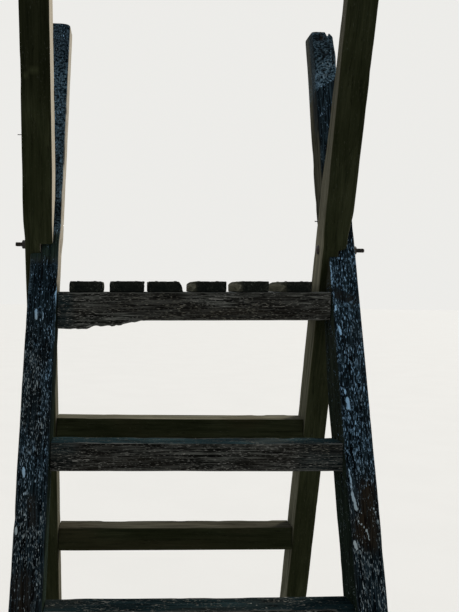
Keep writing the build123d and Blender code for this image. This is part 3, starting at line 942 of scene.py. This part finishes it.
barStreaks = {
    "near_tread_3": [
        (-0.017, -0.2604, -0.019, -0.244, 0.0011, 0.6), (-0.0385, -0.257, -0.037, -0.2438, 0.0014, 0.9),
        (-0.035, -0.2438, -0.0364, -0.2233, 0.0014, 0.8), (-0.0261, -0.1969, -0.0291, -0.1784, 0.001, 0.55),
        (-0.0167, 0.217, -0.0219, 0.2382, 0.0012, 0.7), (-0.0146, 0.2381, -0.0187, 0.2551, 0.0012, 0.6),
        (-0.0104, 0.2507, -0.0124, 0.272, 0.0011, 0.6), (-0.0212, 0.1076, -0.0253, 0.1245, 0.001, 0.5),
        (-0.0398, 0.1751, -0.0523, 0.1922, 0.001, 0.5), (-0.0453, -0.0006, -0.0473, 0.0411, 0.0012, 0.5),
        (-0.0354, 0.2766, -0.0396, 0.2894, 0.0012, 0.5),
    ],
    "near_deck_bearer": [
        (-0.0176, -0.2735, -0.0203, -0.2345, 0.0012, 0.7), (-0.0265, -0.2705, -0.0291, -0.253, 0.001, 0.55),
        (-0.0203, -0.2027, -0.0181, -0.1896, 0.001, 0.6), (-0.0381, -0.0436, -0.0348, -0.0281, 0.0014, 0.9),
        (-0.0314, -0.0348, -0.0303, -0.0193, 0.0011, 0.8), (-0.0248, -0.0127, -0.0199, 0.005, 0.0012, 0.8),
        (-0.0153, 0.0279, -0.017, 0.063, 0.0014, 0.85), (-0.0104, 0.0294, -0.0115, 0.0584, 0.0009, 0.6),
        (-0.0282, 0.1214, -0.0249, 0.1618, 0.0011, 0.6), (-0.0338, 0.1484, -0.0327, 0.1619, 0.0012, 0.8),
        (-0.0327, 0.1709, -0.0327, 0.2002, 0.0012, 0.75), (-0.0293, -0.0015, -0.0281, 0.0163, 0.001, 0.65),
        (-0.0425, 0.0009, -0.0414, 0.0165, 0.001, 0.65), (-0.0775, -0.2402, -0.0749, -0.226, 0.0013, 1.0),
    ],
}
for number, top in enumerate(treads["tops"], 1):
    for side, (low, high), word, material, slotName in crossbars:
        name = f"{word}_tread_{number}"
        surface = crossbar(low, high, treads)
        places, out = surface[:2]
        _, w, x = np.moveaxis(places, -1, 0)
        # the top is dished a little where feet land
        dish = np.exp(-((x - (low + high) / 2) / treads["dishReach"]) ** 2)
        w -= treads["dish"] * dish * ramp(out[..., 1], 0.3, 0.9)
        upward = ramp(out[..., 1], 0.4, 0.9)
        # a faint painted sunlight on the top face
        paint = {"flank": upward, "sunny": upward * 0.04, "flecks": 0.42 - 0.2 * upward,
                 "seated": 0.7 * ramp(-out[..., 1], 0.3, 0.8),
                 "tone": upward * treads["tones"][number - 1],
                 "bare": 0.5 * ramp(softNoise(places, (20, 20, 7), 90 + number), 0.55, 0.8)}
        lip = frontLip(out)
        carve = None
        if name == "near_tread_2":
            # a painted highlight on the front top arris
            paint["sunny"] += 0.4 * lip
            carve = chippedEnd
        if name in barStreaks:
            paint["patch"] = barStrokes(places, out, barStreaks[name])
            ends = ramp(x, 0.19, 0.24) + ramp(-x, 0.235, 0.275)
            paint["flank"] = np.maximum(upward, 0.45 * ends)
            # a stronger painted highlight on the front top arris, and the other faces a little darker
            paint["sunny"] += 0.85 * lip
            paint["tone"] = np.maximum(paint["tone"], 1.1 * lip) - 0.15 * (1 - upward) * (1 - lip)
        seed = treads["seed"] + 5 * number + (60 if side > 0 else 0)
        makeTimber(name, surface, treads, seed, crossbarToWorld(side, nearFaceY(top), top),
                   paint, material, slotName, carve)
print("treads made")


def tornBottom(xs):
    # straight lines between the corners of the torn lower edge, roughened by noise that fades
    # out where the sawn edge begins
    corners = (0, bearer["tornFlat"], bearer["tornStepEnd"], bearer["tornShelf"], bearer["tornRun"])
    depths = (bearer["tornDepth"], bearer["tornDepth"], bearer["tornStep"], bearer["tornStep"], 0)
    torn = np.interp(xs - xs[0], corners, depths)
    q = np.stack([xs, xs * 0, xs * 0], -1)
    ragged = (softNoise(q, (120, 1, 1), 5) - 0.7) * bearer["tornRough"] * (torn > 0.0005)
    return bearer["height"] + np.clip(torn + ragged, 0, bearer["tornDepth"])


boardBoxes = [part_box(f"deck_board_{number}") for number in range(1, 7)]
for side, (low, high), word, material, slotName in crossbars:
    name = f"{word}_deck_bearer"
    surface = crossbar(low, high, bearer, tornBottom if side < 0 else None)
    places, out = surface[:2]
    upward = ramp(out[..., 1], 0.4, 0.9)
    paint = {"flank": upward, "flecks": 0.45 - 0.2 * upward,
             "seated": np.maximum(0.8 * upward, 0.7 * ramp(-out[..., 1], 0.3, 0.8)),
             "bare": 0.6 * ramp(softNoise(places, (20, 20, 6), 95), 0.5, 0.8)}
    if name in barStreaks:
        # daylight falls on the top arris where the boards leave a gap
        x = places[..., 2]
        starts = [box[1][0] for box in boardBoxes]
        stops = [box[0][0] for box in boardBoxes[1:]] + [high]
        gaps = sum(ramp(x, a - 0.001, a + 0.001) * ramp(-x, -b - 0.001, -b + 0.001)
                   for a, b in zip(starts, stops))
        paint["sunny"] = frontLip(out) * (0.3 + 0.7 * gaps)
        paint["patch"] = barStrokes(places, out, barStreaks[name])
        paint["flank"] = np.maximum(upward, 0.6 * ramp(-x, 0.262, 0.285))
    front = nearFaceY(bearer["top"]) + bearer["setback"]
    toWorld = crossbarToWorld(side, front, bearer["top"], bearer["slope"])
    makeTimber(name, surface, bearer, bearer["seed"] + 9 * side, toWorld, paint, material, slotName)
print("bearers made")

deck = {
    "top": 1.3, "thickness": 0.024, "length": 0.154, "radius": 0.0025, "cap": (0.0025, 5),
    "stepAlong": 0.0045, "stepAcross": 0.0024, "inset": 0.0002, "swell": 0.001, "grain": 0.0006,
    "groove": 0.0012, "bite": 0.003, "worn": 0.0065, "wornReach": 0.011, "wornFrom": (-0.014, -0.002),
    "slant": 0.007, "brokenReach": 0.03, "steps": 0.003, "stepsFrom": (-0.02, -0.005), "dry": 0.012,
    "dryMore": 0.002, "dryEdge": 0.005, "seed": 401,
}


def boardToWorld(p):
    # depth runs down from the deck's sloping top: top + depth + slope * X
    z = deck["top"] + p[:, 1] + bearer["slope"] * p[:, 0]
    return np.stack([p[:, 0], p[:, 2], z], -1)


for number, ((left, *_), (right, *_)) in enumerate(boardBoxes, 1):
    name = f"deck_board_{number}"
    left, right = left + deck["inset"], right - deck["inset"]
    half = deck["length"] / 2 - deck["inset"]
    ys = np.linspace(-half, half, int(deck["length"] / deck["stepAlong"]))
    rows = [(y, 0.0, left, right, -deck["thickness"], 0.0, deck["radius"]) for y in ys]
    surface = bar(capped(rows, deck["cap"], deck["cap"]), deck["stepAcross"])
    places, out = surface[:2]
    x, w, y = np.moveaxis(places, -1, 0)
    if number > 3:
        # worn left arris: points near the top left corner drop towards a slanting line
        reach = np.clip(1 - (x - left) / deck["wornReach"], 0, 1)
        w -= deck["worn"] * reach ** 1.4 * ramp(w, *deck["wornFrom"])
    if number == 3:
        # broken right edge leans in towards the top, with a few torn steps
        reach = np.clip(1 - (right - x) / deck["brokenReach"], 0, 1)
        steps = softNoise(places, (1, 160, 60), 77) * deck["steps"]
        lean = deck["slant"] * (1 + w / deck["thickness"])
        x -= reach * (lean + steps * ramp(w, *deck["stepsFrom"]))
    # painted sunlight on the top faces
    paint = {"sunny": 0.25 * ramp(out[..., 1], 0.4, 0.9), "flecks": np.full(out.shape[:2], 0.3),
             "flank": ramp(np.abs(out[..., 0]), 0.5, 0.9),
             "seated": ramp(-out[..., 1], 0.4, 0.9), "cut": np.zeros(out.shape[:2])}
    endRings = deck["cap"][1] + 1
    paint["cut"][:endRings] = 1
    paint["cut"][-endRings:] = 1
    if number > 3:
        # the left part of the front end is lighter, with less end grain and some of the sun colour, and the
        # left side takes painted daylight from the gap beside it
        dry = ramp(left + deck["dry"] + deck["dryMore"] * (number - 3) - x, 0.0, deck["dryEdge"])
        dry = dry * (0.15 + 1.2 * softNoise(places, (420, 420, 60), 83 + number))
        paint["cut"] *= 1 - 0.8 * np.clip(dry, 0, 1)
        side = ramp(-out[..., 0], 0.4, 0.9)
        dry = np.maximum(0.45 * dry * ramp(-y, 0.06, 0.07), 0.9 * side)
        paint["sunny"] = np.maximum(paint["sunny"], dry)
        paint["tone"] = 0.9 * side
    makeTimber(name, surface, deck, deck["seed"] + 11 * number, boardToWorld, paint,
               deckTimber, "deck_timber")
print("deck made")

bolts = {
    "height": 1.378, "radius": 0.005, "pitch": 0.0015, "headRadius": 0.011, "headHeight": 0.005,
    "across": 0.017, "nutHeight": 0.0084, "washerRadius": 0.0125, "washer": 0.0025,
    "threaded": 0.042, "tooth": 0.0008, "recess": 0.009, "leftProud": 0.015, "rightProud": 0.019,
    "clearance": 0.0003, "pole": 0.0003, "threadStep": 0.0003, "tip": 0.0012, "tipDrop": 0.0013,
    "runout": (0.0001, 0.001), "rimRounding": 0.0004, "chamfer": 1.7,
}


def roundBolt(x, r, turn):
    # radius r at each x, swept round the bolts' axis; r may vary round the turn
    return np.stack([x[:, None] + 0 * r, r * np.cos(turn), bolts["height"] + r * np.sin(turn)], -1)


def makeBolt(name, headFace, tail, outward):
    # cup head as a dome, a plain shank, then a thread: radius plus a ridge that follows
    # the helix phase x / pitch - turn / (2 pi)
    turn = np.linspace(0, 2 * np.pi, 40, endpoint=False)
    quarter = np.linspace(0, 1, 9) * np.pi / 2
    domeX = headFace - outward * bolts["headHeight"] * np.cos(quarter)
    domeR = bolts["headRadius"] * np.sin(quarter) + bolts["pole"]
    length = abs(tail - headFace)
    start = length - bolts["threaded"]
    ridges = np.arange(start, length - bolts["tip"], bolts["threadStep"])
    x = np.concatenate([[0.0, start], ridges, [length]])
    phase = x[:, None] / bolts["pitch"] - turn / (2 * np.pi)
    tooth = np.abs((phase % 1.0) - 0.5) * 2
    before, after = bolts["runout"]
    cut = ramp(x, start - before, start + after)[:, None]
    radius = bolts["radius"] - bolts["tooth"] * tooth * cut
    radius[-1] = bolts["radius"] - bolts["tipDrop"]
    radii = np.concatenate([domeR[:, None] + 0 * turn, radius])
    places = roundBolt(np.concatenate([domeX, headFace + outward * x]), radii, turn)
    return closedMesh(name, places, {}, lambda p: p)


def hexRadius(turn, across):
    # distance to the flat of a hexagon at an angle
    folded = (turn + np.pi / 6) % (np.pi / 3) - np.pi / 6
    return across / 2 / np.cos(folded)


def makeRing(name, start, thickness, outward, hexagon):
    # A closed loop carried round the axis: bore, one face, the rim and back. The nut's rim is
    # the smaller of its hexagon and a cone at each face.
    turn = np.linspace(0, 2 * np.pi, 72 if hexagon else 48, endpoint=False)
    u = np.linspace(0, 1, 7)
    if hexagon:
        edge = np.minimum(u, 1 - u)[:, None] * thickness
        cone = bolts["across"] / 2 * 1.01 + edge * bolts["chamfer"]
        rim = np.minimum(hexRadius(turn, bolts["across"]), cone)
    else:
        rounded = bolts["rimRounding"] * (np.abs(u - 0.5)[:, None] * 2) ** 6
        rim = bolts["washerRadius"] - rounded + 0 * turn
    bore = bolts["radius"] + bolts["clearance"] + 0 * turn[None]
    x = start + outward * np.concatenate([[0.0], u * thickness, [thickness]])
    places = roundBolt(x, np.concatenate([bore, rim, bore]), turn)
    points = places.reshape(-1, 3)
    quads = gridQuads(*places.shape[:2])[1].reshape(-1, 4)
    if enclosed(points, quads) < 0:
        quads = quads[:, ::-1]
    return newPiece(name, points.tolist(), quads.tolist())


def dressSteel(piece, *nodes):
    dress(piece, rustySteel, "rusty_fixings", *nodes)


leftFace = ladder["newSpans"][0][0]
rightFace = ladder["oldSpans"][1][1]
leftHead = ladder["oldSpans"][0][1] - bolts["recess"]
rightHead = ladder["newSpans"][1][0]
nutDepth = bolts["washer"] + bolts["nutHeight"]
leftTail = leftFace - nutDepth - bolts["leftProud"]
rightTail = rightFace + nutDepth + bolts["rightProud"]
dressSteel(makeBolt("left_bolt_steel", leftHead, leftTail, -1), "left_bolt")
dressSteel(makeBolt("right_bolt_steel", rightHead, rightTail, 1), "right_bolt")
for word, face, outward in (("left", leftFace, -1), ("right", rightFace, 1)):
    washer = makeRing(f"{word}_washer_steel", face, bolts["washer"], outward, False)
    nutFace = face + outward * bolts["washer"]
    nut = makeRing(f"{word}_nut_steel", nutFace, bolts["nutHeight"], outward, True)
    dressSteel(washer, f"{word}_washer")
    dressSteel(nut, f"{word}_nut")
print("bolts made")

nails = {
    # the drops are how far the rings of a head lie below its face
    "head": 0.0034, "shank": 0.0016, "inset": 0.019, "rows": 0.0489, "sunk": 0.0006,
    "proud": 0.0008, "sides": 12, "root": 0.002, "drops": (0.0008, 0.0008, 0.0003, 0.0), "face": 0.7,
    "strays": (
        ((0.2905, 0.0083, 1.4450), (-1, 0, 0), 0.0017, 0.0011, 0.0065),
        ((-0.3815, -0.1276, 1.6035), (-1, 0, 0), 0.0012, 0.0008, 0.0075),
    ),
}


def makeNails(name, heads):
    # A profile of (radius, along) swept round each nail's own axis. A head is (place of its
    # face, axis pointing out, radius of the head, radius of the shank, length that shows).
    sides = nails["sides"]
    turn = np.linspace(0, 2 * np.pi, sides, endpoint=False)[:, None]
    places, axes = (np.array([head[i] for head in heads], float) for i in (0, 1))
    wide, thin, proud = (np.array([head[i] for head in heads])[:, None] for i in (2, 3, 4))
    along = [proud * 0 - nails["root"]] + [proud - drop for drop in nails["drops"]]
    along = np.concatenate(along, 1)
    radii = np.concatenate([thin, thin, wide, wide, nails["face"] * wide], 1)
    u = np.cross(axes, np.roll(axes, 1, 1))
    v = np.cross(axes, u)
    ring = u[:, None, None] * np.cos(turn) + v[:, None, None] * np.sin(turn)
    middles = places[:, None, None] + axes[:, None, None] * along[:, :, None, None]
    points = middles + ring * radii[:, :, None, None]
    count, rings = radii.shape
    grid, quads = gridQuads(rings, sides)
    offset = (np.arange(count) * rings * sides)[:, None]
    quads = (quads[:-1].reshape(-1, 4) + offset[..., None]).reshape(-1, 4)
    caps = (grid[0][::-1] + offset).tolist() + (grid[-1] + offset).tolist()
    return newPiece(name, points.reshape(-1, 3).tolist(), quads.tolist() + caps)


heads = []
for (low, *_), (high, *_) in boardBoxes:
    for x in (low + nails["inset"], high - nails["inset"]):
        for y in (-nails["rows"], nails["rows"]):
            z = deck["top"] + bearer["slope"] * x - nails["sunk"]
            heads.append(((x, y, z), (0, 0, 1), nails["head"], nails["shank"], nails["proud"]))
dressSteel(makeNails("nails_steel", heads + list(nails["strays"])))
print("nails made")

studio = {
    "floor": (0.80, 0.80, 0.79), "floorBounce": 0.35, "floorShade": 0.985, "floorSize": 60.0,
    "world": (0.93, 0.96, 1.0), "worldStrength": 0.5, "backdrop": (0.845, 0.84, 0.815),
    "sun": (1.0, 0.95, 0.86), "sunStrength": 3.3, "sunFrom": (0.64, 0.52, 0.56), "softness": 12.0,
}


def dimmed(colour, factor):
    return tuple(factor * part for part in colour)


def seenDirectly(tree):
    # 1 for what the camera sees itself or through gloss and glass, 0 for light that bounces
    rays = addNode("ShaderNodeLightPath", {}, tree).outputs
    glossy = calc("MAXIMUM", rays["Is Glossy Ray"], rays["Is Transmission Ray"])
    return calc("MAXIMUM", rays["Is Camera Ray"], glossy)


def makeFloor():
    # a large square, pale where it is seen and darker where it bounces light
    size = studio["floorSize"]
    corners = [(-size, -size, 0), (size, -size, 0), (size, size, 0), (-size, size, 0)]
    piece = newPiece("floor", corners, [(0, 1, 2, 3)])
    material, tree, shader = newMaterial("paleFloor")
    soft = noiseAt(addNode("ShaderNodeTexCoord", {}, tree).outputs["Object"], 2.0)
    shaded = dimmed(studio["floor"], studio["floorShade"])
    pale = blendColour(fade(soft, 0.3, 0.7), studio["floor"], shaded)
    colour = blendColour(seenDirectly(tree), dimmed(studio["floor"], studio["floorBounce"]), pale)
    setInputs(shader, {"Base Color": colour, "Roughness": 0.95, "Specular IOR Level": 0.1})
    piece.data.materials.append(material)


makeFloor()
world = bpy.data.worlds.new("studioWorld")
bpy.context.scene.world = world
world.use_nodes = True
worldColour = blendColour(seenDirectly(world.node_tree),
                          dimmed(studio["world"], studio["worldStrength"]), studio["backdrop"])
setInputs(world.node_tree.nodes["Background"], {"Color": worldColour})

sun = bpy.data.lights.new("softSun", "SUN")
sun.energy = studio["sunStrength"]
sun.angle = math.radians(studio["softness"])
sun.color = studio["sun"]
sunObject = bpy.data.objects.new("softSun", sun)
sunObject.rotation_mode = "QUATERNION"
sunObject.rotation_quaternion = Vector(studio["sunFrom"]).to_track_quat("Z", "Y")
bpy.context.scene.collection.objects.link(sunObject)

# Camera as fitted to the photograph: focal length 800 pixels on a 612 pixel long side
view = {
    "place": (-0.1563, -1.8409, 1.364 - 0.0844), "yaw": 0.0622, "roll": 0.0152, "sensor": 36.0,
    "focal": 800.0, "centre": (175.13, 289.88), "width": 459.0, "height": 612.0,
}
cameraData = bpy.data.cameras.new("camera")
cameraData.sensor_fit = "AUTO"
cameraData.sensor_width = view["sensor"]
cameraData.lens = view["sensor"] * view["focal"] / view["height"]
cameraData.shift_x = (view["width"] / 2 - view["centre"][0]) / view["height"]
cameraData.shift_y = -(view["height"] / 2 - view["centre"][1]) / view["height"]
camera = bpy.data.objects.new("camera", cameraData)
forward = Vector((math.sin(view["yaw"]), math.cos(view["yaw"]), 0))
right = Vector((math.cos(view["yaw"]), -math.sin(view["yaw"]), 0))
up = Vector((0, 0, 1))
tiltedRight = right * math.cos(view["roll"]) + up * math.sin(view["roll"])
tiltedUp = up * math.cos(view["roll"]) - right * math.sin(view["roll"])
camera.rotation_mode = "QUATERNION"
camera.rotation_quaternion = Matrix((tiltedRight, tiltedUp, -forward)).transposed().to_quaternion()
camera.location = view["place"]
bpy.context.scene.collection.objects.link(camera)
bpy.context.scene.camera = camera
bpy.context.scene.view_settings.view_transform = "Standard"
print("studio made")
